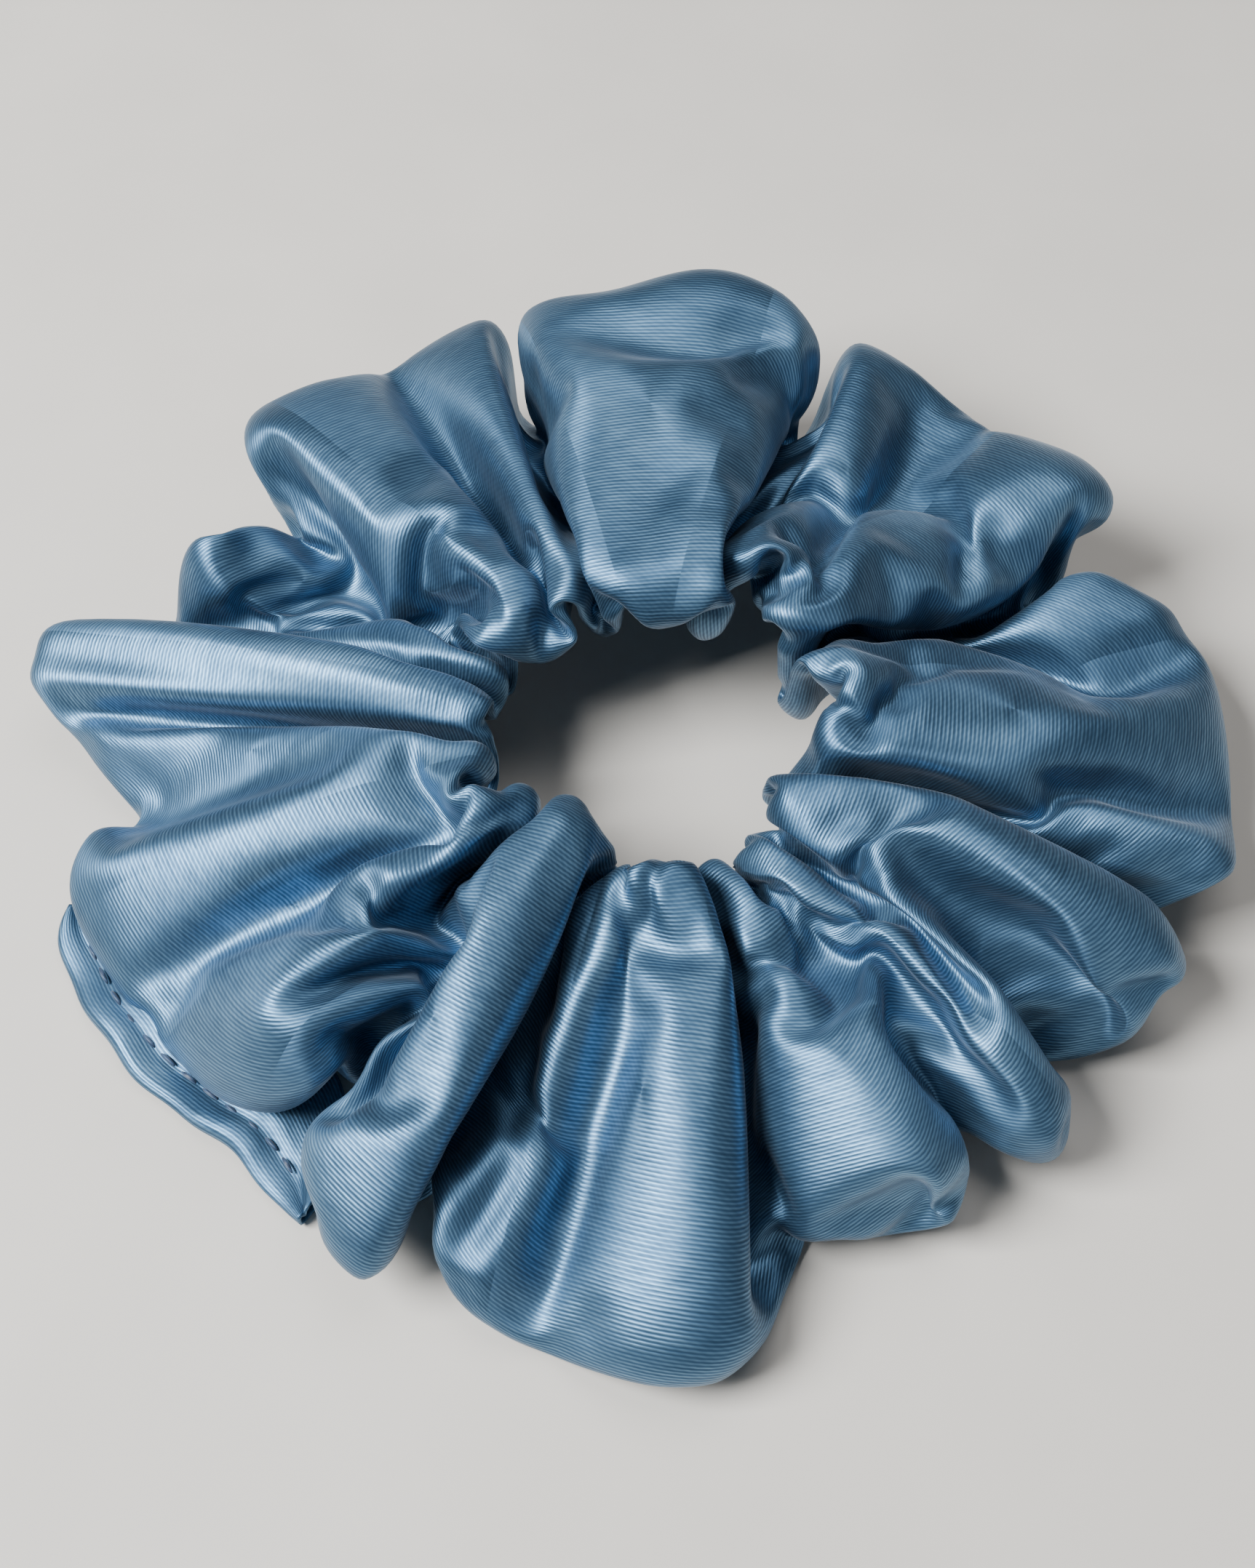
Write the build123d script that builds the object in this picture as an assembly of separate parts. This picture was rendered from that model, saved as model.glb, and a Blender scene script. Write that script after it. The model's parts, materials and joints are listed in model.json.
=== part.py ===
"""Satin scrunchie: a gathered fabric tube over a closed elastic loop, lying flat.

The origin is the centre of the loop, at the middle of the elastic's width, and +Z runs along
the loop's axis, up from the face that the scrunchie rests on. All sizes are in millimetres.

The loop is cut into equal gathers, and each gather carries its own length of elastic, of
fabric tube and of seam. The gathers slide apart along the loop when the elastic stretches.
One boundary, the closing seam, is where the two ends of the tube and of the elastic overlap.
"""

import math
import os

from build123d import *

# The loop
GATHERS = 12
STEP_DEG = 360 / GATHERS
GATHER_GAP = 0.4  # between one gather and the next, along the loop at the elastic
STRETCH = 12.0  # travel from one gather to the next when fully stretched
LOOP_R = 17.0  # inner radius of the relaxed loop
RIM_HEIGHT = 8.0  # height of the upright inner rim, across the elastic
FLOOR_Z = -12.0  # the face that the scrunchie rests on

# The fabric tube, with the thickness that its gathered folds take up
WALL = 1.3
RIM_SLOPE = 2.0  # rise over run of the flared inner sides above and below the rim
PINCH = 0.84  # size of a gather's section at its ends, as a share of the middle
UNDERCUT = 3.0  # how far a section's ellipse runs inside the rim before it is trimmed

# Outer radius and top of each gather, anticlockwise from the first one after +X
OUTER_R = [57, 55, 51, 53, 55, 65, 60, 55, 64, 61, 56, 55]
TOP_Z = [19, 20, 20, 19, 18, 15, 16, 15, 17, 17, 16, 18]

# The flat braided elastic
ELASTIC_R = LOOP_R + WALL + 0.7  # inner face
ELASTIC_T = 1.0
ELASTIC_W = 5.0

# The long seam's allowance, a folded strip lying in the bottom of the tube
SEAM_R = ELASTIC_R + ELASTIC_T + 5.0
SEAM_W = 6.0
SEAM_T = 0.7
SEAM_LIFT = 0.3

# The closing seam: gather LAST has the tucked end, gather FIRST receives it
FIRST, LAST = 7, 6
SEAM_DEG = FIRST * STEP_DEG
LAP = STRETCH + 1.0
LAP_GAP = 0.4
TUCK_BACK = 2.0  # how far the tucked end starts inside its own gather
TUCK_WALL = 0.8
TUCK_IN, TUCK_OUT = 26.5, 41.5
TUCK_LOW, TUCK_HIGH = -8.2, 6.0
TUCK_ROUND = 4.0

# Thread
THREAD_R = 0.2
STITCH_LENGTH = 2.0
STITCH_PITCH = 2.8
TACK_PITCH = 1.6
TACK_START = 1.5  # from the closing seam to the first tack
ROW_FROM, ROW_TO = 125, 15  # the topstitch's ends, in degrees round the tube's section

REACH = 100.0  # longer than any section, for trimming


def gather_angles(index, clear=0.0):
    """The start, middle and end of a gather, in degrees, less a share of the gap at each end."""
    start, end = index * STEP_DEG, (index + 1) * STEP_DEG
    trim = math.degrees((GATHER_GAP / 2 + clear) / LOOP_R)
    return start + trim, (start + end) / 2, end - trim


def on_spoke(degrees):
    """A plane through the axis: its x runs outwards, its y runs up."""
    outwards = Vector(1, 0, 0).rotate(Axis.Z, degrees)
    return Plane(origin=(0, 0, 0), x_dir=outwards, z_dir=outwards.cross(Vector(0, 0, 1)))


def ellipse_of(outer_r, top_z):
    """The ellipse that a gather's section is trimmed from: its middle, half width and height."""
    inner = LOOP_R - UNDERCUT
    bottom = FLOOR_Z - UNDERCUT
    half_width, half_height = (outer_r - inner) / 2, (top_z - bottom) / 2
    return (inner + half_width, bottom + half_height), half_width, half_height


def drawn_in(index):
    """The outer radius and top of a gather at its ends, where it is drawn in."""
    drawn_r = LOOP_R + (OUTER_R[index] - LOOP_R) * PINCH
    drawn_z = FLOOR_Z + (TOP_Z[index] - FLOOR_Z) * PINCH
    return drawn_r, drawn_z


def section(degrees, outer_r, top_z, inset):
    """One elliptical section of a gather, shrunk by inset on every side."""
    middle, half_width, half_height = ellipse_of(outer_r, top_z)
    face = on_spoke(degrees) * Pos(*middle) * Ellipse(half_width - inset, half_height - inset)
    return face.face()


def rim_cutter(inset):
    """All that lies inside the upright rim and its flared sides."""
    radius = LOOP_R + inset
    half = RIM_HEIGHT / 2
    run = REACH / RIM_SLOPE
    with BuildPart() as cutter:
        with BuildSketch(Plane.XZ):
            with BuildLine():
                Polyline(
                    (0, -half - REACH),
                    (radius + run, -half - REACH),
                    (radius, -half),
                    (radius, half),
                    (radius + run, half + REACH),
                    (0, half + REACH),
                    close=True,
                )
            make_face()
        revolve(axis=Axis.Z)
    return cutter.part


def below(height):
    """All that lies below a height."""
    return Pos(0, 0, height - REACH / 2) * Box(3 * REACH, 3 * REACH, REACH)


def puff(index, inset):
    """The closed form of one gather, full in the middle and drawn in at both ends."""
    start, middle, end = gather_angles(index)
    form = loft(
        [
            section(start, *drawn_in(index), inset),
            section(middle, OUTER_R[index], TOP_Z[index], inset),
            section(end, *drawn_in(index), inset),
        ]
    )
    return form - rim_cutter(inset) - below(FLOOR_Z + inset)


def ring_piece(index, inner_r, thickness, bottom, height, clear=0.0):
    """A flat band bent round the loop, as long as one gather."""
    start, _, end = gather_angles(index, clear)
    half = thickness / 2
    band = on_spoke(start) * Pos(inner_r + half, bottom + height / 2) * Rectangle(thickness, height)
    return revolve(band, axis=Axis.Z, revolution_arc=end - start)


def at_closing_seam():
    """The closing seam's own frame: x outwards, y onwards along the loop, z up."""
    return Location((0, 0, 0), (0, 0, SEAM_DEG))


def cover(index):
    """The fabric of one gather: a hollow form, open at both ends."""
    return puff(index, 0) - puff(index, WALL)


def elastic(index):
    """One gather's length of elastic. The last one carries the lap past the closing seam."""
    band = ring_piece(index, ELASTIC_R, ELASTIC_T, -ELASTIC_W / 2, ELASTIC_W)
    if index != LAST:
        return band
    back = GATHER_GAP + ELASTIC_T
    inner = ELASTIC_R + ELASTIC_T + LAP_GAP
    lap = Pos(inner + ELASTIC_T / 2, (LAP - back) / 2, 0) * Box(ELASTIC_T, LAP + back, ELASTIC_W)
    step_x = inner + ELASTIC_T - ELASTIC_R
    step = Pos(ELASTIC_R + step_x / 2, -back + ELASTIC_T / 2, 0) * Box(step_x, ELASTIC_T, ELASTIC_W)
    return band + at_closing_seam() * (lap + step)


def seam_allowance(index):
    """The turned-in strip of fabric along the long seam, inside the tube."""
    bottom = FLOOR_Z + WALL + SEAM_LIFT
    return ring_piece(index, SEAM_R, SEAM_W, bottom, SEAM_T, clear=0.1)


def tucked_end():
    """The end of the tube that is pushed inside the other end and sewn."""
    width, height = TUCK_OUT - TUCK_IN, TUCK_HIGH - TUCK_LOW
    middle = ((TUCK_OUT + TUCK_IN) / 2, (TUCK_HIGH + TUCK_LOW) / 2)
    outline = RectangleRounded(width, height, TUCK_ROUND)
    hole = RectangleRounded(width - 2 * TUCK_WALL, height - 2 * TUCK_WALL, TUCK_ROUND - TUCK_WALL)
    ring = Pos(*middle) * (outline - hole)
    upright = Plane(origin=(0, 0, 0), x_dir=(1, 0, 0), z_dir=(0, -1, 0))
    sleeve = extrude(upright * ring, amount=-(LAP + TUCK_BACK))
    return at_closing_seam() * Pos(0, -TUCK_BACK, 0) * sleeve


def stitch(start, end):
    """One straight stitch between two points."""
    run = Vector(*end) - Vector(*start)
    plane = Plane(origin=start, z_dir=run)
    return extrude(plane * Circle(THREAD_R), amount=run.length)


def topstitch():
    """The row of stitches over the top of the tube, just before the closing seam."""
    _, _, end = gather_angles(LAST)
    degrees = end - math.degrees(STITCH_LENGTH / LOOP_R) / 2
    (middle_r, middle_z), half_width, half_height = ellipse_of(*drawn_in(LAST))
    around = math.radians(ROW_FROM - ROW_TO) * (half_width + half_height) / 2
    count = int(around / STITCH_PITCH)
    row = []
    for number in range(count):
        ends = []
        for share in (number / count, (number + STITCH_LENGTH / STITCH_PITCH) / count):
            turn = math.radians(ROW_FROM + (ROW_TO - ROW_FROM) * share)
            radius = middle_r + half_width * math.cos(turn)
            height = middle_z + half_height * math.sin(turn)
            point = Vector(radius, 0, height).rotate(Axis.Z, degrees)
            ends.append((point.X, point.Y, point.Z))
        row.append(stitch(*ends))
    return Compound(children=row)


def lap_tack():
    """The zigzag that closes the elastic's lap, standing on the lap's outer face."""
    face_x = ELASTIC_R + 2 * ELASTIC_T + LAP_GAP
    rise = ELASTIC_W / 2 - 2 * THREAD_R
    count = int((LAP - TACK_START) / TACK_PITCH)
    row = []
    for number in range(count):
        y = TACK_START + number * TACK_PITCH
        low, high = (face_x, y, -rise), (face_x, y + TACK_PITCH / 2, rise)
        row.append(at_closing_seam() * stitch(low, high))
    return Compound(children=row)


def save(shape, node):
    export_step(shape, f"parts/{node}.step")


def main():
    os.makedirs("parts", exist_ok=True)
    for index in range(GATHERS):
        number = f"{index + 1:02d}"
        save(cover(index), f"cover_gather_{number}")
        save(elastic(index), f"elastic_span_{number}")
        save(seam_allowance(index), f"long_seam_{number}")
    save(tucked_end(), "cover_tucked_end")
    save(topstitch(), "closing_topstitch")
    save(lap_tack(), "elastic_lap_tack")


main()
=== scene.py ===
import json
import math

import bpy
import numpy as np
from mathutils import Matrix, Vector
from mathutils.bvhtree import BVHTree

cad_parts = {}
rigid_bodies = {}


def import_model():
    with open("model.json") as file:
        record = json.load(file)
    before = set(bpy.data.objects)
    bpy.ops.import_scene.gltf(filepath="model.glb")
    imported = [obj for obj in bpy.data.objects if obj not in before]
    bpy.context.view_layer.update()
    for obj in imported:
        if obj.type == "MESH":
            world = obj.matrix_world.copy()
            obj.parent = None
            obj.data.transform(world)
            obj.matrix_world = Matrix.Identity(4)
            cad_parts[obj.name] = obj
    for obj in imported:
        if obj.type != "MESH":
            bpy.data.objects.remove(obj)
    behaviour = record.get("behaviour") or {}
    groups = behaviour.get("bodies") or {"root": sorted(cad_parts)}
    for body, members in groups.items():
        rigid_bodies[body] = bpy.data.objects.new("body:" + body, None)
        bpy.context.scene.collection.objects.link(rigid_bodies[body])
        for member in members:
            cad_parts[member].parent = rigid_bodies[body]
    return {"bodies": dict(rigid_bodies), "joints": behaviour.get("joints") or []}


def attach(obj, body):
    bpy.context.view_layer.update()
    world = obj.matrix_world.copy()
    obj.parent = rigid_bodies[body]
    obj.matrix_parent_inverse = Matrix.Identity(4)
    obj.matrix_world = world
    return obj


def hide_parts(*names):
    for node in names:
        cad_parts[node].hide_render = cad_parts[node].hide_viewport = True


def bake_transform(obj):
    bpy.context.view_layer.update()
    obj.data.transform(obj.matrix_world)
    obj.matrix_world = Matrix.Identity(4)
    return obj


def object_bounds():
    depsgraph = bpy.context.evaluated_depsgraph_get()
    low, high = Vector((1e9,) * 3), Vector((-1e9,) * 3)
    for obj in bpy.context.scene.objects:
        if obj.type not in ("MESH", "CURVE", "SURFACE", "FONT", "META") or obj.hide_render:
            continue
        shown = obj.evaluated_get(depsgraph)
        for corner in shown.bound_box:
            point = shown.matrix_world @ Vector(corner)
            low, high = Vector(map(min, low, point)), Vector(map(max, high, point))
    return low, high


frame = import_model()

# A satin scrunchie lying flat: the cover is a tube of cloth, gathered by simulation and then
# cut between the gathers into lengths that each run from one gather to the next.

cadLow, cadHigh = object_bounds()
joints = frame["joints"]
gatherCount = len(frame["bodies"])
gatherTurn = 2 * math.pi / gatherCount
stretch = joints[0]["range_m"][1]
floorZ = cadLow.z
mm = 0.001
simScale = 10  # the cloth solver works best on something about a metre across

loop = {
    "elasticWidth": 5 * mm,
    "elasticThick": 0.8 * mm,
    "elasticRadius": 19 * mm,  # for the length of the braid's pattern
    "closingGather": 7,  # the gather that ends at the closing seam, counted from 1
    "lap": stretch + 1 * mm,
    "lapGap": 0.4 * mm,
}
seamTurn = loop["closingGather"] * gatherTurn


def bodyName(number):
    return f"gather_{(number - 1) % gatherCount + 1:02d}"


def spoke(turn, radius=1.0, height=0.0):
    return Vector((radius * math.cos(turn), radius * math.sin(turn), height))


def deselectAll():
    if bpy.context.object and bpy.context.object.mode != "OBJECT":
        bpy.ops.object.mode_set(mode="OBJECT")
    bpy.ops.object.select_all(action="DESELECT")


def makeActive(piece):
    deselectAll()
    piece.select_set(True)
    bpy.context.view_layer.objects.active = piece


def applyModifier(piece, kind, **settings):
    makeActive(piece)
    modifier = piece.modifiers.new(kind.lower(), kind)
    for key, value in settings.items():
        setattr(modifier, key, value)
    bpy.ops.object.modifier_apply(modifier=modifier.name)


def points(mesh):
    co = np.zeros(len(mesh.vertices) * 3)
    mesh.vertices.foreach_get("co", co)
    return co.reshape(-1, 3)


def setPoints(mesh, co):
    mesh.vertices.foreach_set("co", np.asarray(co, float).ravel())
    mesh.update()


def setOnFloor(mesh, co):
    co[:, 2] += floorZ - co[:, 2].min()
    setPoints(mesh, co)


def uvOf(mesh):
    uv = np.zeros(len(mesh.loops) * 2)
    mesh.uv_layers.active.data.foreach_get("uv", uv)
    return uv.reshape(-1, 2)


def turnOf(co):
    return np.arctan2(co[:, 1], co[:, 0]) % (2 * math.pi)


def turnedFrom(start, turns):
    # the angle from one direction to others, up to half a turn either way
    return (turns - start + math.pi) % (2 * math.pi) - math.pi


def softened(piece, levels):
    applyModifier(piece, "SUBSURF", levels=levels, render_levels=levels)


def copyOf(piece):
    copy = piece.copy()
    copy.data = piece.data.copy()
    bpy.context.scene.collection.objects.link(copy)
    return copy


def setMaterial(piece, material):
    piece.data.materials.clear()
    piece.data.materials.append(material)


cloth = {
    "tubeRadius": 15.5 * mm,  # of the tube when it is round: the strip is cut 97 mm wide
    "ringRadius": 71 * mm,  # of the tube laid out in a ring before it is gathered
    "alongCount": 216,
    "aroundCount": 44,
    "flatness": 0.5,  # of the section that the tube is laid out with
    "tilt": 30,
    "frames": 60,
    "gatheredBy": 36,  # the frame at which the elastic is as short as it gets
    "stiffness": 20,
    "bending": 1.9,
    "puff": 0.22,
    "weight": 0.6,
    "smoothLevels": 2,
    "thickness": 0.3 * mm,
    "ripple": 4 * mm,
    "rippleOutwards": 0.75,  # as a share of the ripple's height
    "unevenness": 0.5 * mm,
    "rimRowBelow": 2,  # the row held on the elastic, counted down from the innermost one
    "ridgeHold": 0.85,
    "valleyHold": 0.5,
    "rimHold": 0.95,
    "tuckInwards": 0.35 * mm,
    "tuckBack": 1.5 * mm,  # how far the tucked end starts before the closing seam
    "seamPlace": (0.62, 0.69),  # the allowance of the long seam, as shares of the way round
    "seamInwards": 0.5 * mm,
}
clothGirth = 2 * math.pi * cloth["tubeRadius"]
clothLength = 2 * math.pi * cloth["ringRadius"]

# Each fold of the cover, anticlockwise from +X: where it points and how far it spreads in
# degrees, its reach at either side, and its height at the tip, the rim's radius and its height
# there, all in millimetres, and how much cloth is folded away after it.
folds = [
    (3, 32, 59, 59, 13, 18, 23, 1.1),
    (48, 36, 57, 57, 20, 17, 28, 1.0),
    (87, 30, 54, 54, 22, 12, 32, 0.9),
    (123, 32, 59, 58, 19, 17, 27, 1.0),
    (151, 0, 53, 53, 18, 18, 21, 0.6),
    (166, 6, 68, 68, 9, 18, 18, 1.0),
    (209, 36, 59, 47, 6, 16, 20, 1.1),
    (240, 9, 53, 59, 9, 15, 25, 0.9),
    (264, 24, 54, 61, 6, 17, 16, 1.1),
    (298, 0, 52, 52, 7, 18, 16, 0.8),
    (314, 0, 53, 53, 9, 18, 19, 0.8),
    (331, 7, 53, 53, 11, 18, 19, 1.0),
]
# between two folds, in millimetres: the depth is a share of what the cloth there allows
valley = {
    "rim": 17,
    "rimHeight": 4,
    "height": 0.5,  # as a share of the lower of the two tips beside it
    "least": 33,
    "depth": 0.62,
    "tall": 12,  # folds from this height up lean on each other, so the valley is shallower
    "tallDepth": 0.42,
}
tubeEdge = 5.5  # how far the tube's outer edge lies past its round section, in millimetres
crestSlack = 1.05


def layOutFolds():
    # each ridge and valley: its place along the cloth, then where it is drawn to
    outer = (cloth["ringRadius"] + cloth["tubeRadius"] + tubeEdge * mm) / mm
    crest = []
    for _, spread, reachA, reachB, *_ in folds:
        width = math.hypot((reachA + reachB) * math.sin(math.radians(spread) / 2), reachB - reachA)
        crest.append(width * crestSlack / outer)
    spare = 2 * math.pi - sum(crest)
    allFullness = sum(f[7] for f in folds)
    guides, place = [], 0.0
    for number, fold in enumerate(folds):
        turn, spread, reachA, reachB, tip, rim, height, fullness = fold
        after = folds[(number + 1) % len(folds)]
        wrap = 360 if number == len(folds) - 1 else 0
        guides.append((place, turn - spread / 2, reachA, tip, rim, height, True))
        place += crest[number]
        if spread:
            guides.append((place, turn + spread / 2, reachB, tip, rim, height, True))
        length = spare * fullness / allFullness
        nextTurn = after[0] - after[1] / 2 + wrap
        reach = (reachB + after[2]) / 2
        chord = math.radians(nextTurn - turn - spread / 2) * reach
        depth = 0.5 * math.sqrt(max((length * outer) ** 2 - chord**2, 0))
        lowerTip = min(tip, after[4])
        share = valley["tallDepth" if lowerTip >= valley["tall"] else "depth"]
        inward = max(reach - depth * share, valley["least"])
        middle = (turn + spread / 2 + nextTurn) / 2
        guides.append((place + length / 2, middle, inward, lowerTip * valley["height"],
                       valley["rim"], valley["rimHeight"], False))
        place += length
    start = math.radians(guides[0][1])
    return [(g[0] + start, math.radians(g[1])) + g[2:] for g in guides]


def layTube(guides):
    # the sewn tube laid out flat in a wide ring, leaning up, before anything draws it in
    deselectAll()
    bpy.ops.mesh.primitive_torus_add(
        major_segments=cloth["alongCount"], minor_segments=cloth["aroundCount"],
        major_radius=cloth["ringRadius"], minor_radius=cloth["tubeRadius"])
    tube = bpy.context.object
    tube.name = "coverCloth"
    thick = cloth["tubeRadius"] * cloth["flatness"]
    wide = cloth["tubeRadius"]
    while wayRound(wide, thick)[-1] < clothGirth:
        wide += cloth["tubeRadius"] / 500
    steps = wayRound(wide, thick)
    rowPlaces = np.arange(cloth["aroundCount"]) / cloth["aroundCount"] * steps[-1]
    around = np.interp(rowPlaces, steps, np.linspace(0, 2 * math.pi, len(steps)))
    grid = points(tube.data).reshape(cloth["alongCount"], cloth["aroundCount"], 3)
    along = turnOf(grid[:, 0])
    lean = math.radians(cloth["tilt"])
    across, up = wide * (1 + np.cos(around)), thick * np.sin(around)
    inner = cloth["ringRadius"] - cloth["tubeRadius"]
    outwards = inner + across * math.cos(lean) - up * math.sin(lean)
    heights = across * math.sin(lean) + up * math.cos(lean)
    heights = heights - heights.min() + 1 * mm
    share = across / (2 * wide)
    for ring, turn in enumerate(along):
        wave = rippleAt(guides, turn)
        radius = outwards + wave * cloth["ripple"] * cloth["rippleOutwards"] * share
        grid[ring, :, 0] = radius * math.cos(turn)
        grid[ring, :, 1] = radius * math.sin(turn)
        grid[ring, :, 2] = heights + (wave * cloth["ripple"] + unevenness(turn)) * share
    setPoints(tube.data, grid * simScale)
    return tube, along, grid


def wayRound(wide, thick):
    # the distance gone at each step round an ellipse, so that the rows can lie evenly on it
    turns = np.linspace(0, 2 * math.pi, 361)
    steps = np.hypot(np.diff(wide * np.cos(turns)), np.diff(thick * np.sin(turns)))
    return np.concatenate([[0], np.cumsum(steps)])


def rippleAt(guides, turn):
    # 1 on a ridge and -1 in a valley, so that the folds start where they should
    places = [g[0] for g in guides]
    signs = [1.0 if g[6] else -1.0 for g in guides]
    places = [p + k * 2 * math.pi for k in (-1, 0, 1) for p in places]
    return float(np.interp(turn, places, signs * 3))


def unevenness(turn):
    # small lasting waves, so that no two gathers are alike
    waves = sum(math.sin(count * turn + 1.7 * count) for count in (5, 7, 11, 17, 23))
    return cloth["unevenness"] * waves


def heldRow():
    # the row of the cloth's points that is held on the elastic
    return cloth["aroundCount"] // 2 + cloth["rimRowBelow"]


def drawIn(tube, along, grid, guides):
    # the shape key pulls the rim in on the elastic, and each ridge and valley to its place
    tube.shape_key_add(name="laidOut")
    key = tube.shape_key_add(name="gathered")
    pins = tube.vertex_groups.new(name="held")
    goal = grid.copy()
    rimRow = heldRow()
    for place, turn, reach, height, rim, rimHeight, isRidge in guides:
        ring = int(np.argmin(np.abs(turnedFrom(place, along))))
        goal[ring, 0] = spoke(turn, reach * mm, height * mm)
        goal[ring, rimRow] = spoke(turn, rim * mm, rimHeight * mm)
        first = ring * cloth["aroundCount"]
        pins.add([first], cloth["ridgeHold"] if isRidge else cloth["valleyHold"], "REPLACE")
        pins.add([first + rimRow], cloth["rimHold"], "REPLACE")
    key.data.foreach_set("co", (goal * simScale).ravel())
    for value, frameNumber in ((0, 1), (1, cloth["gatheredBy"])):
        key.value = value
        key.keyframe_insert("value", frame=frameNumber)


def addTable():
    deselectAll()
    bpy.ops.mesh.primitive_plane_add(size=0.6 * simScale)
    table = bpy.context.object
    table.modifiers.new("table", "COLLISION")
    table.collision.thickness_outer = 0.004
    table.collision.cloth_friction = 12
    return table


def gatherCloth(tube):
    modifier = tube.modifiers.new("satin", "CLOTH")
    fabric = modifier.settings
    fabric.quality = 6
    fabric.mass = 0.15
    fabric.air_damping = 1
    fabric.tension_stiffness = fabric.compression_stiffness = cloth["stiffness"]
    fabric.shear_stiffness = cloth["stiffness"] / 3
    fabric.bending_stiffness = cloth["bending"]
    fabric.tension_damping = fabric.compression_damping = fabric.shear_damping = 5
    fabric.bending_damping = 0.5
    fabric.vertex_group_mass = "held"
    fabric.pin_stiffness = 8
    fabric.use_pressure = True
    fabric.uniform_pressure_force = cloth["puff"]
    fabric.rest_shape_key = tube.data.shape_keys.key_blocks["laidOut"]
    fabric.effector_weights.gravity = cloth["weight"]
    contact = modifier.collision_settings
    contact.distance_min = 0.004
    contact.collision_quality = 3
    contact.use_self_collision = True
    contact.self_distance_min = 0.006
    contact.self_friction = 5
    modifier.point_cache.frame_end = cloth["frames"]
    for frameNumber in range(1, cloth["frames"] + 1):
        bpy.context.scene.frame_set(frameNumber)
    evaluated = tube.evaluated_get(bpy.context.evaluated_depsgraph_get())
    mesh = bpy.data.meshes.new_from_object(evaluated)
    gathered = bpy.data.objects.new("cover", mesh)
    bpy.context.scene.collection.objects.link(gathered)
    return gathered


def makeGatheredTube():
    guides = layOutFolds()
    tube, along, grid = layTube(guides)
    drawIn(tube, along, grid, guides)
    table = addTable()
    gathered = gatherCloth(tube)
    bpy.data.objects.remove(tube)
    bpy.data.objects.remove(table)
    bpy.context.scene.frame_set(1)
    co = points(gathered.data) / simScale
    setOnFloor(gathered.data, co)
    print("cover gathered", np.round(co.min(0) * 1000, 1), np.round(co.max(0) * 1000, 1))
    return gathered


def selectFaces(piece, chosen):
    makeActive(piece)
    bpy.context.tool_settings.mesh_select_mode = (False, False, True)
    bpy.ops.object.mode_set(mode="EDIT")
    bpy.ops.mesh.select_all(action="DESELECT")
    bpy.ops.object.mode_set(mode="OBJECT")
    piece.data.polygons.foreach_set("select", np.asarray(chosen, bool))
    bpy.ops.object.mode_set(mode="EDIT")


def faceCentres(piece):
    centres = np.zeros(len(piece.data.polygons) * 3)
    piece.data.polygons.foreach_get("center", centres)
    return centres.reshape(-1, 3)


def cutAcross(piece, turn, offset=0.0, halfOnly=False):
    # cuts along an upright plane through the axis, or beside it
    onwards = spoke(turn + math.pi / 2)
    centres = faceCentres(piece)
    chosen = np.ones(len(centres), bool)
    if halfOnly:
        chosen = centres @ np.array(spoke(turn)) > 0
    selectFaces(piece, chosen)
    bpy.ops.mesh.bisect(plane_co=onwards * offset, plane_no=onwards, threshold=1e-6)
    bpy.ops.object.mode_set(mode="OBJECT")


def keepNormals(piece):
    # the whole loop's normals, so that no cut shows as a crease
    normals = np.zeros(len(piece.data.vertices) * 3)
    piece.data.vertices.foreach_get("normal", normals)
    layer = piece.data.attributes.new("wholeNormal", "FLOAT_VECTOR", "POINT")
    layer.data.foreach_set("vector", normals)


def heldNormals(piece):
    values = np.zeros(len(piece.data.vertices) * 3)
    piece.data.attributes["wholeNormal"].data.foreach_get("vector", values)
    values = values.reshape(-1, 3)
    return values / np.maximum(np.linalg.norm(values, axis=1, keepdims=True), 1e-9)


def treeOf(piece):
    faces = [tuple(face.vertices) for face in piece.data.polygons]
    return BVHTree.FromPolygons([Vector(co) for co in points(piece.data)], faces)


# between a fold's two sides: how much there is if nothing is near, and each face's share of it
room = {"most": 20 * mm, "outer": 0.3, "inner": 0.45, "rayStart": 0.03 * mm}


def measureRoom(piece, tree):
    # how far it is from each point, straight inwards, to the far side of the cloth
    found = []
    for co, normal in zip(points(piece.data), heldNormals(piece)):
        hit = tree.ray_cast(Vector(co - normal * room["rayStart"]), Vector(-normal))
        found.append(hit[3] or room["most"])
    layer = piece.data.attributes.new("room", "FLOAT", "POINT")
    layer.data.foreach_set("value", found)


def giveThickness(piece, thickness, inset=0.0):
    # outer and inner faces below the cloth's surface, both nearer to it where a fold is tight
    base, normals = points(piece.data), heldNormals(piece)
    count = len(base)
    space = np.full(count, room["most"])
    if "room" in piece.data.attributes:
        piece.data.attributes["room"].data.foreach_get("value", space)
    applyModifier(piece, "SOLIDIFY", thickness=thickness, offset=-1, use_rim=True)
    co = points(piece.data)
    outer = np.minimum(inset, room["outer"] * space)[:, None]
    inner = np.minimum(inset + thickness, room["inner"] * space)[:, None]
    co[:count], co[count:] = base - normals * outer, base - normals * inner
    setPoints(piece.data, co)
    makeActive(piece)
    bpy.ops.object.shade_smooth()
    piece.data.normals_split_custom_set_from_vertices(np.concatenate([normals, -normals]))
    for name in ("wholeNormal", "room"):
        if name in piece.data.attributes:
            piece.data.attributes.remove(piece.data.attributes[name])


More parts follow.
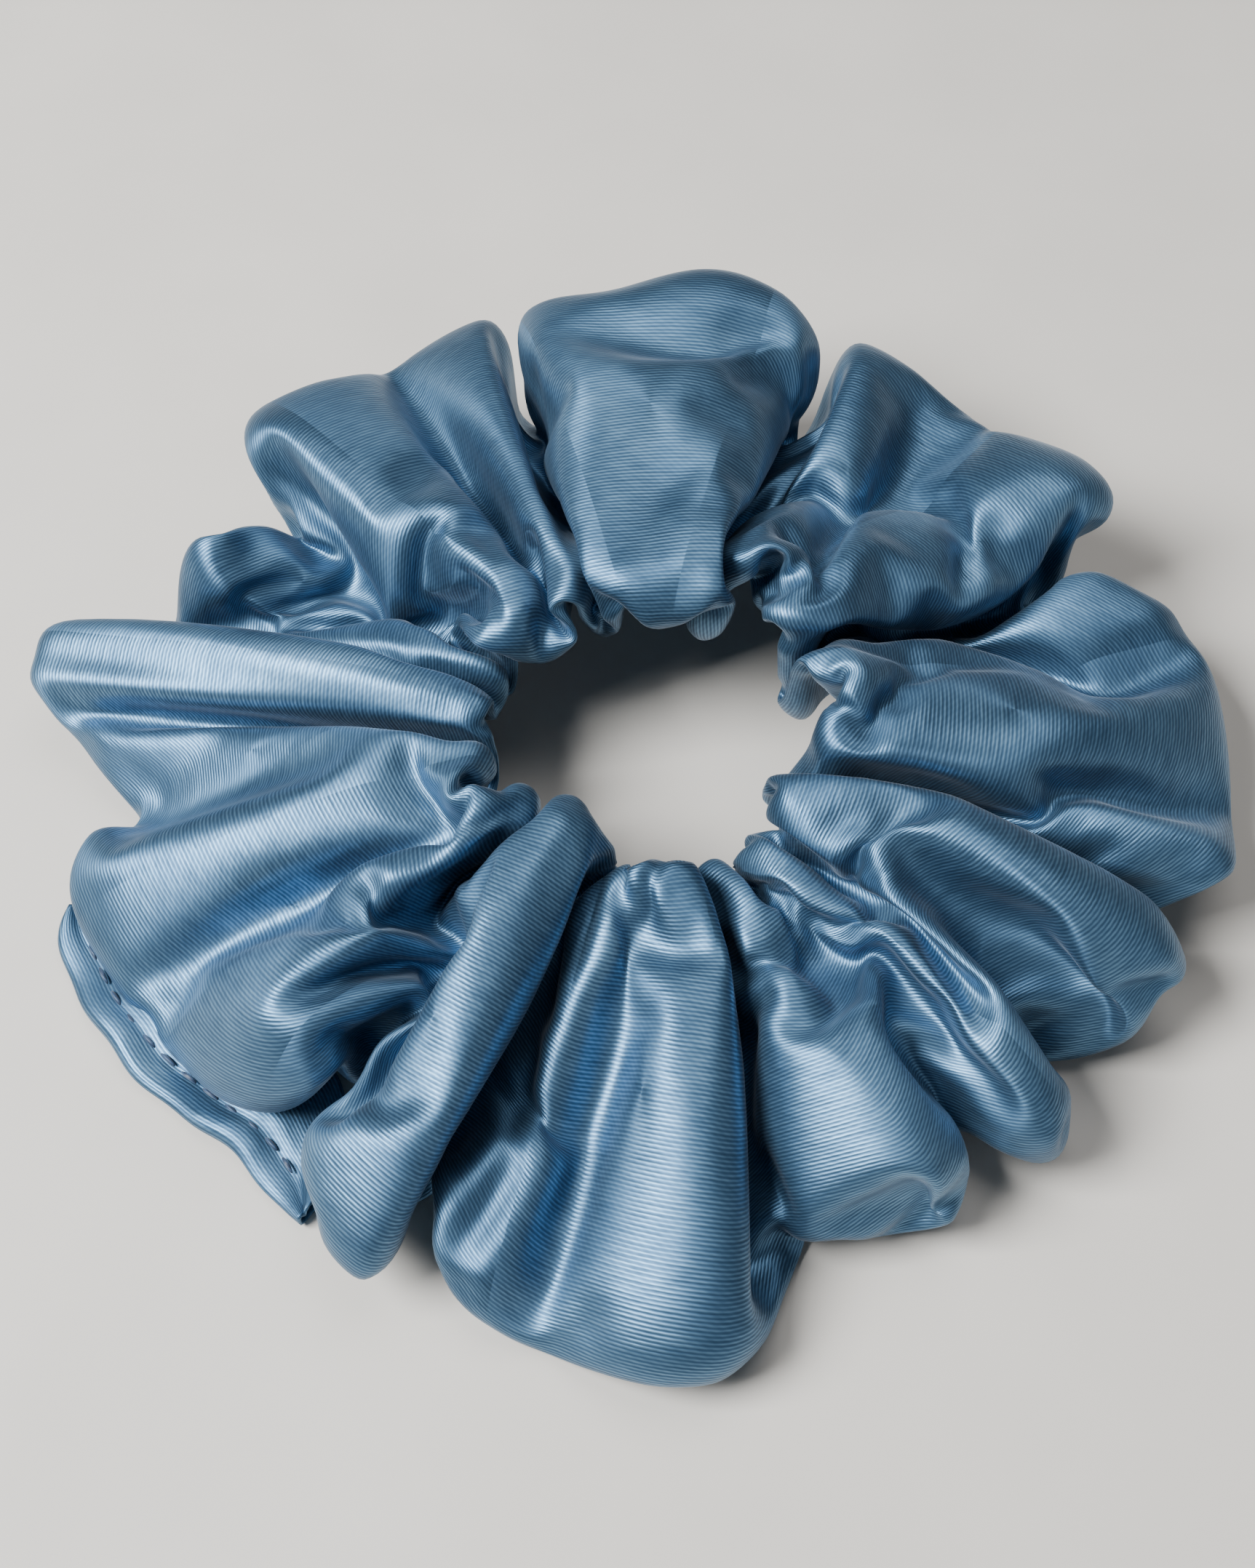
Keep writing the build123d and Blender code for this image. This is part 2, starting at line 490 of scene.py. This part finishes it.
def overlapPiece(whole, name, start, end):
    # a copy of the stretch just past the closing seam, that belongs to the gather before it
    piece = copyOf(whole)
    piece.name = name
    cutAcross(piece, seamTurn, offset=start, halfOnly=True)
    cutAcross(piece, seamTurn, offset=end, halfOnly=True)
    centres = faceCentres(piece)
    outwards = centres @ np.array(spoke(seamTurn))
    onwards = centres @ np.array(spoke(seamTurn + math.pi / 2))
    selectFaces(piece, (outwards < 0) | (onwards < start) | (onwards > end))
    bpy.ops.mesh.delete(type="FACE")
    bpy.ops.object.mode_set(mode="OBJECT")
    return piece


def spanPlan():
    # from the middle of each gather to the middle of the next, and two halves at the closing seam
    plan = []
    for number in range(1, gatherCount + 1):
        low, high = (number - 0.5) * gatherTurn, (number + 0.5) * gatherTurn
        after = number % gatherCount + 1
        if number == loop["closingGather"]:
            plan.append((f"{number:02d}_end", low, seamTurn, number, number))
            plan.append((f"{after:02d}_start", seamTurn, high, after, after))
        else:
            plan.append((f"{number:02d}_to_{after:02d}", low, high, number, after))
    return plan


def cutIntoSpans(whole, name):
    spans = []
    plan = spanPlan()
    for ending, low, high, number, after in plan[:-1]:
        turns = turnOf(faceCentres(whole))
        selectFaces(whole, (turns > low) & (turns < high))
        bpy.ops.mesh.separate(type="SELECTED")
        bpy.ops.object.mode_set(mode="OBJECT")
        piece = [o for o in bpy.context.selected_objects if o is not whole][0]
        piece.name = f"{name}_{ending}"
        spans.append((piece, low, high, number, after))
    ending, low, high, number, after = plan[-1]
    whole.name = f"{name}_{ending}"
    spans.append((whole, low, high, number, after))
    return spans


def cutEverywhere(whole):
    for number in range(gatherCount // 2):
        cutAcross(whole, (number + 0.5) * gatherTurn)
    cutAcross(whole, seamTurn, halfOnly=True)
    keepNormals(whole)


def settleInside(piece, tree, margin):
    # returns how many points are still within the cover's own thickness
    co = points(piece.data)
    for _ in range(4):
        keepInside(co, tree, margin)
    setPoints(piece.data, co)
    outside = 0
    for place in co:
        near, normal, _, _ = tree.find_nearest(Vector(place))
        outside += (near - Vector(place)).dot(normal) < cloth["thickness"]
    return outside


def joinToBodies(piece, low, number, after):
    # the two lengths at the seam each go with one gather; the other lengths are not joined to any
    # gather
    if number == after:
        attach(piece, bodyName(number))
        return
    rim = float(np.hypot(*points(piece.data)[:, :2].T).min())
    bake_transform(piece)
    # each point's share of the way from one gather to the next, by the angle round the loop
    share = np.clip(turnedFrom(low, turnOf(points(piece.data))) / gatherTurn, 0, 1)


def finishSpans(whole, name, node, material, thickness, inset=0.0):
    cutEverywhere(whole)
    made = []
    for piece, low, high, number, after in cutIntoSpans(whole, name):
        share = clothShare(piece)
        giveThickness(piece, thickness, inset)
        setMaterial(piece, material)
        joinToBodies(piece, low, number, after)
        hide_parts(f"{node}_{number:02d}")
        made.append((piece, share))
    return made


def finishOverlap(piece, node, material, thickness, inset=0.0):
    share = clothShare(piece)
    giveThickness(piece, thickness, inset)
    setMaterial(piece, material)
    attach(piece, bodyName(loop["closingGather"]))
    if node:
        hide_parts(node)
    return share


def clothShare(piece):
    # the cloth in a piece, as a share of the whole tube's, from its area in the UV map
    uv = uvOf(piece.data)
    total = 0.0
    for face in piece.data.polygons:
        ring = uv[face.loop_start:face.loop_start + face.loop_total]
        onwards = np.roll(ring, -1, axis=0)
        total += abs(float((ring[:, 0] * onwards[:, 1] - ring[:, 1] * onwards[:, 0]).sum())) / 2
    return total


def makeCover(cover, tree):
    strip = copyOf(cover)
    keepNormals(strip)
    measureRoom(strip, tree)
    tucked = overlapPiece(strip, "tucked_end_cloth", -cloth["tuckBack"], loop["lap"])
    bpy.data.objects.remove(strip)
    share = finishOverlap(tucked, "cover_tucked_end", satin, cloth["thickness"],
                          inset=cloth["tuckInwards"])
    spans = finishSpans(cover, "cover", "cover_gather", satin, cloth["thickness"])
    print("cover cut into", len(spans), "lengths")


def makeLongSeam(cover, tree):
    # the allowance of the tube's own seam: a strip of the cloth again, turned in and inside
    strip = copyOf(cover)
    across = uvOf(strip.data).reshape(-1, 4, 2)[:, :, 1].mean(axis=1)
    low, high = cloth["seamPlace"]
    selectFaces(strip, (across < low) | (across > high))
    bpy.ops.mesh.delete(type="FACE")
    bpy.ops.object.mode_set(mode="OBJECT")
    keepNormals(strip)
    measureRoom(strip, tree)
    made = finishSpans(strip, "long_seam", "long_seam", satinReverse, cloth["thickness"],
                       inset=cloth["seamInwards"])
    print("long seam:", len(made), "lengths")


elasticLook = {
    "start": 1.6 * mm,  # from the rim's fold to the elastic's edge, before it is pulled short
    "rounds": 50,
    "pull": 0.5,
    "margin": 1.0 * mm,  # to the cover
    "least": 0.45 * mm,  # the same, once the elastic has its thickness
    "middleRows": 0.2,  # the rows round the rim that give the tube's middle, as a share of them all
}


def rimAndInside(cover):
    # the points in the fold of the rim, and the middle of the tube beside them
    rows = points(cover.data).reshape(cloth["alongCount"], cloth["aroundCount"], 3)
    rimRow = heldRow()
    deep = round(cloth["aroundCount"] * elasticLook["middleRows"])
    return rows[:, rimRow].copy(), rows[:, rimRow - deep:rimRow + deep + 1].mean(axis=1)


def keepInside(path, tree, margin):
    # moves each point that is nearer than the margin to the cloth, or outside it, back inside
    for number, place in enumerate(path):
        near, normal, _, _ = tree.find_nearest(Vector(place))
        depth = (near - Vector(place)).dot(normal)
        if depth < margin:
            path[number] = place - np.array(normal) * (margin - depth)


def elasticEdges(rim, inside, tree):
    # starts in the fold of the rim and is then pulled as short as the cloth around it allows
    across = inside - rim
    across /= np.linalg.norm(across, axis=1, keepdims=True)
    near = rim + across * elasticLook["start"]
    far = near + across * loop["elasticWidth"]
    for _ in range(elasticLook["rounds"]):
        for edge in (near, far):
            edge += elasticLook["pull"] * ((np.roll(edge, 1, 0) + np.roll(edge, -1, 0)) / 2 - edge)
            keepInside(edge, tree, elasticLook["margin"])
        middle, width = (near + far) / 2, far - near
        width *= loop["elasticWidth"] / 2 / np.linalg.norm(width, axis=1, keepdims=True)
        near, far = middle - width, middle + width
    for edge in (near, far):
        keepInside(edge, tree, elasticLook["margin"])
    return near, far


def makeElastic(near, far, tree):
    deselectAll()
    bpy.ops.mesh.primitive_cylinder_add(
        vertices=cloth["alongCount"], radius=1, depth=1, end_fill_type="NOTHING")
    band = bpy.context.object
    co = points(band.data)
    ring = np.round(turnOf(co) / (2 * math.pi) * cloth["alongCount"]).astype(int) % cloth["alongCount"]
    setPoints(band.data, np.where(co[:, 2:] < 0, near[ring], far[ring]))
    softened(band, 1)
    keepNormals(band)
    lap = overlapPiece(band, "elastic_lap", 0.0, loop["lap"])
    # the lap lies over the other end, on the side where the cloth leaves more room
    moved = points(lap.data) + heldNormals(lap) * (loop["elasticThick"] + loop["lapGap"])
    keepInside(moved, tree, elasticLook["margin"])
    setPoints(lap.data, moved)
    thick = loop["elasticThick"]
    made = finishSpans(band, "elastic", "elastic_span", braid, thick, inset=-thick / 2)
    finishOverlap(lap, None, braid, thick, inset=-thick / 2)
    outside = sum(settleInside(piece, tree, elasticLook["least"]) for piece, _ in made)
    settleInside(lap, tree, elasticLook["margin"])  # clear of the tucked end too
    print("elastic:", len(made), "lengths,", outside, "points near the cover")
    return lap


hem = {
    "from": math.radians(191),
    "to": math.radians(234),
    "radius": 55 * mm,  # of the cover's outline here, which gives the hem's length
    "out": 3.2 * mm,  # how far the folded edge stands out past the cover
    "stitchIn": 3.3 * mm,  # from the folded edge to the row of stitches
    "stitchLength": 2.0 * mm,
    "stitchPitch": 2.8 * mm,
    "stitchHeight": 2.0 * mm,
    "sag": 0.25 * mm,  # how far a stitch's ends sink in
    "threadRadius": 0.24 * mm,
    "thickness": 0.3 * mm,
    "ruck": 0.35 * mm,
    "below": 12 * mm,  # the outline is taken from the cloth below this height
    "window": math.radians(2.5),  # and from this far to either side
}
# the folded edge in section: outwards from the cover's outline and up from the table, in mm
hemSection = [
    (-9, 0.3), (-5, 0.3), (-1, 0.3), (1.6, 0.35), (2.7, 0.6), (3.2, 1.2), (2.9, 1.9),
    (2.2, 2.2), (1.2, 2.1), (0.3, 1.75), (-0.1, 1.6), (-0.6, 1.75), (-1.6, 2.3), (-4, 2.4), (-9, 1.8),
]
tack = {
    "count": 7,
    "pitch": 1.6 * mm,
    "start": 1.4 * mm,
    "reach": 1.3 * mm,  # to either side of the lap's middle
    "lift": 0.45 * mm,
    "threadRadius": 0.2 * mm,
}


def outlineAt(co, turn):
    # how far the cover reaches out near the table, in one direction
    near = (np.abs(turnedFrom(turn, turnOf(co))) < hem["window"]) & (co[:, 2] < floorZ + hem["below"])
    return float(np.hypot(co[near, 0], co[near, 1]).max())


def hemLine(coverPoints):
    turns = np.linspace(hem["from"], hem["to"], 13)
    reach = np.array([outlineAt(coverPoints, t) for t in turns])
    smooth = np.poly1d(np.polyfit(turns, reach, 4))
    return lambda turn: float(smooth(turn))


def makeHem(coverPoints):
    reach = hemLine(coverPoints)
    deselectAll()
    bpy.ops.mesh.primitive_grid_add(x_subdivisions=64, y_subdivisions=42, size=2)
    piece = bpy.context.object
    piece.name = "closing_hem"
    co = points(piece.data)
    section = np.array(hemSection) * mm
    steps = np.concatenate([[0], np.cumsum(np.linalg.norm(np.diff(section, axis=0), axis=1))])
    placed = []
    for x, y, _ in co:
        along, down = (x + 1) / 2, (1 - y) / 2 * steps[-1]
        turn = hem["from"] + along * (hem["to"] - hem["from"])
        taper = 1 - 0.8 * (2 * along - 1) ** 8
        ruck = hem["ruck"] * math.sin(along * 23) * math.sin(along * 9 + 1)
        out = np.interp(down, steps, section[:, 0]) * taper + ruck
        up = np.interp(down, steps, section[:, 1]) * (0.9 + 0.25 * math.sin(along * 17 + 2))
        placed.append(spoke(turn, reach(turn) + out, floorZ + up))
    setPoints(piece.data, placed)
    length = (hem["to"] - hem["from"]) * hem["radius"]
    ofWhole = np.array([length / clothLength, steps[-1] / clothGirth])
    piece.data.uv_layers.active.data.foreach_set("uv", (uvOf(piece.data) * ofWhole).ravel())
    softened(piece, 1)
    applyModifier(piece, "SOLIDIFY", thickness=hem["thickness"], offset=0)
    makeActive(piece)
    bpy.ops.object.shade_smooth()
    piece.data.materials.append(satin)
    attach(piece, bodyName(loop["closingGather"]))
    print("hem along the closing seam")
    return reach


def oneStitch():
    deselectAll()
    bpy.ops.mesh.primitive_uv_sphere_add(segments=8, ring_count=6, radius=1)
    stitch = bpy.context.object
    makeActive(stitch)
    bpy.ops.object.mode_set(mode="EDIT")
    bpy.ops.transform.rotate(value=math.pi / 2, orient_axis="Y", center_override=(0, 0, 0))
    bpy.ops.object.mode_set(mode="OBJECT")
    bpy.ops.object.shade_smooth()
    return stitch


def sewRow(name, ends, radius, sag):
    # one stitch for each pair of points: a fat thread that sinks into the cloth at both ends
    model = oneStitch()
    shape = points(model.data)
    copies = []
    for start, finish in ends:
        copy = copyOf(model)
        run = Vector(finish) - Vector(start)
        turned = np.array(run.normalized().to_track_quat("X", "Z").to_matrix())
        local = shape * [run.length / 2, radius, radius]
        local[:, 2] -= sag * shape[:, 0] ** 2
        middle = np.array((Vector(start) + Vector(finish)) / 2)
        setPoints(copy.data, local @ turned.T + middle)
        copies.append(copy)
    bpy.data.objects.remove(model)
    deselectAll()
    for copy in copies:
        copy.select_set(True)
    bpy.context.view_layer.objects.active = copies[0]
    bpy.ops.object.join()
    row = bpy.context.object
    row.name = name
    setMaterial(row, thread)
    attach(row, bodyName(loop["closingGather"]))
    return row


def sewHem(reach):
    middle = (hem["from"] + hem["to"]) / 2
    pitch = hem["stitchPitch"] / reach(middle)
    count = int((hem["to"] - hem["from"]) / pitch) - 2
    ends = []
    for number in range(count):
        turn = hem["from"] + (number + 1.5) * pitch
        pair = []
        for t in (turn, turn + pitch * hem["stitchLength"] / hem["stitchPitch"]):
            pair.append(spoke(t, reach(t) + hem["out"] - hem["stitchIn"], floorZ + hem["stitchHeight"]))
        ends.append(pair)
    row = sewRow("topstitch_thread", ends, hem["threadRadius"], hem["sag"])
    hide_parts("closing_topstitch")
    print(count, "topstitches")


def tackLap(lap, tree):
    # a zigzag up and down the middle of the lap's outer face
    co = points(lap.data)
    onwards = co @ np.array(spoke(seamTurn + math.pi / 2))
    lift = np.array(spoke(seamTurn, tack["lift"]))
    ends = []
    for number in range(tack["count"]):
        pair = []
        for half, side in ((0, -1), (0.5, 1)):
            place = tack["start"] + (number + half) * tack["pitch"]
            near = co[np.abs(onwards - place) < tack["pitch"] / 2]
            across = near[np.argmax(near[:, 2])] - near[np.argmin(near[:, 2])]
            across *= side * tack["reach"] / np.linalg.norm(across)
            pair.append(near.mean(axis=0) + across + lift)
        ends.append(pair)
    row = sewRow("lap_tack_thread", ends, tack["threadRadius"], 0)
    settleInside(row, tree, elasticLook["margin"])
    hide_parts("elastic_lap_tack")


satinLook = {
    "deep": (0.018, 0.046, 0.088),
    "body": (0.056, 0.124, 0.212),
    "pale": (0.19, 0.35, 0.51),
    "metallic": 0.8,
    "roughness": 0.47,
    "sheen": 0.15,
    "sheenTint": (0.70, 0.78, 0.90, 1),
    "anisotropic": 0.55,
    "ribSpacing": 0.37,  # between the satin's ribs, in mm
    "floatLength": 2.6,
    "wander": 1.2,
    "ribDepth": 0.00010,
    "ribStrength": 0.35,
    "crumple": 0.0004,
    "crumpleStrength": 0.25,
    "crumpleScale": 0.22,
    "cloudScale": 0.06,  # of the broad lighter and darker areas
}


class Nodes:
    # shorthand for wiring a material's nodes
    def __init__(self, name):
        self.material = bpy.data.materials.new(name)
        self.material.use_nodes = True
        self.tree = self.material.node_tree
        self.shader = self.tree.nodes["Principled BSDF"]

    def add(self, kind, **settings):
        node = self.tree.nodes.new(kind)
        for key, value in settings.items():
            setattr(node, key, value)
        return node

    def link(self, out, into):
        self.tree.links.new(out, into)

    def math(self, operation, a, b=None):
        node = self.add("ShaderNodeMath", operation=operation)
        for socket, value in zip(node.inputs, (a, b)):
            if value is None:
                continue
            if isinstance(value, (int, float)):
                socket.default_value = value
            else:
                self.link(value, socket)
        return node.outputs[0]

    def noise(self, vector, scale, detail=2.0, roughness=0.5):
        node = self.add("ShaderNodeTexNoise")
        self.link(vector, node.inputs["Vector"])
        node.inputs["Scale"].default_value = scale
        node.inputs["Detail"].default_value = detail
        node.inputs["Roughness"].default_value = roughness
        return node.outputs[0]

    def ramp(self, value, stops):
        node = self.add("ShaderNodeValToRGB")
        self.link(value, node.inputs[0])
        while len(node.color_ramp.elements) < len(stops):
            node.color_ramp.elements.new(0.5)
        for element, (place, colour) in zip(node.color_ramp.elements, stops):
            element.position = place
            element.color = (*colour, 1)
        return node.outputs[0]

    def bump(self, height, strength, distance):
        node = self.add("ShaderNodeBump")
        node.inputs["Strength"].default_value = strength
        node.inputs["Distance"].default_value = distance
        self.link(height, node.inputs["Height"])
        return node

    def clothVector(self, acrossMm, alongMm):
        # the piece's own UV map, in millimetres of cloth
        where = self.add("ShaderNodeTexCoord")
        scale = self.add("ShaderNodeMapping")
        scale.inputs["Scale"].default_value = (alongMm, acrossMm, 1)
        self.link(where.outputs["UV"], scale.inputs["Vector"])
        return scale.outputs[0]


def makeSatin(name, look, facing):
    n = Nodes(name)
    where = n.clothVector(clothGirth / mm, clothLength / mm)
    split = n.add("ShaderNodeSeparateXYZ")
    n.link(where, split.inputs[0])
    along, around = split.outputs[0], split.outputs[1]
    # the ribs run along the tube; each is made of floats that start and stop at random
    stretched = n.add("ShaderNodeMapping")
    stretched.inputs["Scale"].default_value = (1 / look["floatLength"], 1 / look["ribSpacing"], 1)
    n.link(where, stretched.inputs["Vector"])
    floats = n.noise(stretched.outputs[0], 1.0, 1.0)
    wander = n.math("MULTIPLY", n.noise(where, 0.35, 2.0), look["wander"])
    ribPlace = n.math("ADD", n.math("MULTIPLY", around, 2 * math.pi / look["ribSpacing"]), wander)
    rib = n.math("MULTIPLY", n.math("ADD", n.math("SINE", ribPlace), 1.0), 0.5)
    twillPlace = n.math("ADD", n.math("MULTIPLY", along, 7.0), n.math("MULTIPLY", around, 9.0))
    twill = n.math("MULTIPLY", n.math("ADD", n.math("SINE", twillPlace), 1.0), 0.5)
    weave = n.math("ADD", n.math("MULTIPLY", rib, 0.5), n.math("MULTIPLY", floats, 0.55))
    weave = n.math("ADD", weave, n.math("MULTIPLY", twill, 0.08))
    clouds = n.noise(where, look["cloudScale"], 3.0, 0.6)
    shade = n.math("ADD", n.math("MULTIPLY", weave, 0.55), n.math("MULTIPLY", clouds, 0.45))
    colour = n.ramp(shade, [(0.18, look["deep"]), (0.5, look["body"]), (0.86, look["pale"])])
    n.link(colour, n.shader.inputs["Base Color"])
    rough = n.add("ShaderNodeMapRange")
    n.link(weave, rough.inputs["Value"])
    rough.inputs["To Min"].default_value = look["roughness"] + 0.08
    rough.inputs["To Max"].default_value = look["roughness"] - 0.05
    n.link(rough.outputs[0], n.shader.inputs["Roughness"])
    n.shader.inputs["Metallic"].default_value = look["metallic"]
    n.shader.inputs["Sheen Weight"].default_value = look["sheen"]
    n.shader.inputs["Sheen Roughness"].default_value = 0.35
    n.shader.inputs["Sheen Tint"].default_value = look["sheenTint"]
    n.shader.inputs["Anisotropic"].default_value = look["anisotropic"] * facing
    creases = n.noise(where, look["crumpleScale"], 2.0, 0.55)
    soft = n.bump(creases, look["crumpleStrength"], look["crumple"])
    fine = n.bump(weave, look["ribStrength"], look["ribDepth"])
    n.link(soft.outputs[0], fine.inputs["Normal"])
    n.link(fine.outputs[0], n.shader.inputs["Normal"])
    return n.material


def makeBraid():
    n = Nodes("elasticBraid")
    where = n.clothVector(loop["elasticWidth"] / mm, 2 * math.pi * loop["elasticRadius"] / mm)
    wave = n.add("ShaderNodeTexWave", wave_type="BANDS", bands_direction="DIAGONAL")
    wave.inputs["Scale"].default_value = 0.5
    wave.inputs["Distortion"].default_value = 0.6
    n.link(where, wave.inputs["Vector"])
    lines = n.add("ShaderNodeTexWave", wave_type="BANDS", bands_direction="Y")
    lines.inputs["Scale"].default_value = 0.4
    n.link(where, lines.inputs["Vector"])
    both = n.math("MULTIPLY", wave.outputs["Fac"], lines.outputs["Fac"])
    colour = n.ramp(both, [(0.0, (0.36, 0.36, 0.34)), (0.6, (0.78, 0.78, 0.75))])
    n.link(colour, n.shader.inputs["Base Color"])
    n.shader.inputs["Roughness"].default_value = 0.8
    n.link(n.bump(both, 0.5, 0.0002).outputs[0], n.shader.inputs["Normal"])
    return n.material


def makeThread():
    n = Nodes("sewingThread")
    where = n.add("ShaderNodeTexCoord")
    twist = n.add("ShaderNodeTexWave", wave_type="BANDS", bands_direction="DIAGONAL")
    twist.inputs["Scale"].default_value = 900
    n.link(where.outputs["Object"], twist.inputs["Vector"])
    colour = n.ramp(twist.outputs["Fac"], [(0.0, (0.008, 0.022, 0.055)), (1.0, (0.03, 0.065, 0.13))])
    n.link(colour, n.shader.inputs["Base Color"])
    n.shader.inputs["Roughness"].default_value = 0.5
    n.shader.inputs["Sheen Weight"].default_value = 0.3
    n.link(n.bump(twist.outputs["Fac"], 0.4, 0.0001).outputs[0], n.shader.inputs["Normal"])
    return n.material


studio = {
    "floorColour": (0.62, 0.58, 0.53),
    "keyPower": 12.0,
    "keySize": 0.32,
    "fillPower": 0.4,
    "skyStrength": 0.08,
    "skyColour": (0.80, 0.88, 1.0, 1),
}
view = {"elevation": 57, "distance": 0.204, "lens": 47, "aimX": -0.002, "aimY": -0.003}


def makeFloor():
    deselectAll()
    bpy.ops.mesh.primitive_plane_add(size=3, location=(0, 0, 0))
    floor = bpy.context.object
    floor.name = "floor"
    co = points(floor.data)
    co[:, 2] = floorZ
    setPoints(floor.data, co)
    n = Nodes("paleTable")
    where = n.add("ShaderNodeTexCoord")
    mottle = n.noise(where.outputs["Object"], 40, 4.0)
    low = tuple(c * 0.94 for c in studio["floorColour"])
    n.link(n.ramp(mottle, [(0.3, low), (0.7, studio["floorColour"])]), n.shader.inputs["Base Color"])
    n.shader.inputs["Roughness"].default_value = 0.75
    floor.data.materials.append(n.material)


def addLight(name, place, size, power, colour):
    lamp = bpy.data.lights.new(name, "AREA")
    lamp.size = size
    lamp.energy = power
    lamp.color = colour
    holder = bpy.data.objects.new(name, lamp)
    holder.location = place
    holder.rotation_mode = "QUATERNION"
    holder.rotation_quaternion = (-Vector(place)).to_track_quat("-Z", "Y")
    bpy.context.scene.collection.objects.link(holder)


def makeLights():
    addLight("window", (-0.42, -0.12, 0.50), studio["keySize"], studio["keyPower"], (0.95, 0.98, 1))
    addLight("overhead", (0.10, 0.25, 0.70), 0.5, studio["keyPower"] * 0.2, (1, 1, 1))
    addLight("fill", (0.45, -0.4, 0.25), 0.5, studio["fillPower"], (0.9, 0.95, 1))
    world = bpy.data.worlds.new("studio")
    bpy.context.scene.world = world
    world.use_nodes = True
    world.node_tree.nodes["Background"].inputs[0].default_value = studio["skyColour"]
    world.node_tree.nodes["Background"].inputs[1].default_value = studio["skyStrength"]


def makeCamera():
    lens = bpy.data.cameras.new("camera")
    camera = bpy.data.objects.new("camera", lens)
    bpy.context.scene.collection.objects.link(camera)
    lens.lens = view["lens"]
    lens.sensor_width = 36
    rise = math.radians(view["elevation"])
    back = Vector((0, -math.cos(rise), math.sin(rise)))
    camera.location = Vector((view["aimX"], view["aimY"], 0)) + back * view["distance"]
    camera.rotation_mode = "QUATERNION"
    camera.rotation_quaternion = (-back).to_track_quat("-Z", "Y")
    lens.clip_start = 0.01
    bpy.context.scene.camera = camera


makeCamera()
makeLights()
makeFloor()
satin = makeSatin("satin", satinLook, 1)
satinReverse = makeSatin("satinReverse", {**satinLook, "metallic": 0.1, "roughness": 0.65}, 0)
braid = makeBraid()
thread = makeThread()
cover = makeGatheredTube()
rim, inside = rimAndInside(cover)
softened(cover, cloth["smoothLevels"])
setOnFloor(cover.data, points(cover.data))
coverPoints, tree = points(cover.data), treeOf(cover)
near, far = elasticEdges(rim, inside, tree)
tackLap(makeElastic(near, far, tree), tree)
makeLongSeam(cover, tree)
makeCover(cover, tree)
sewHem(makeHem(coverPoints))

print("cad box", [round(v * 1000, 1) for v in (*cadLow, *cadHigh)])
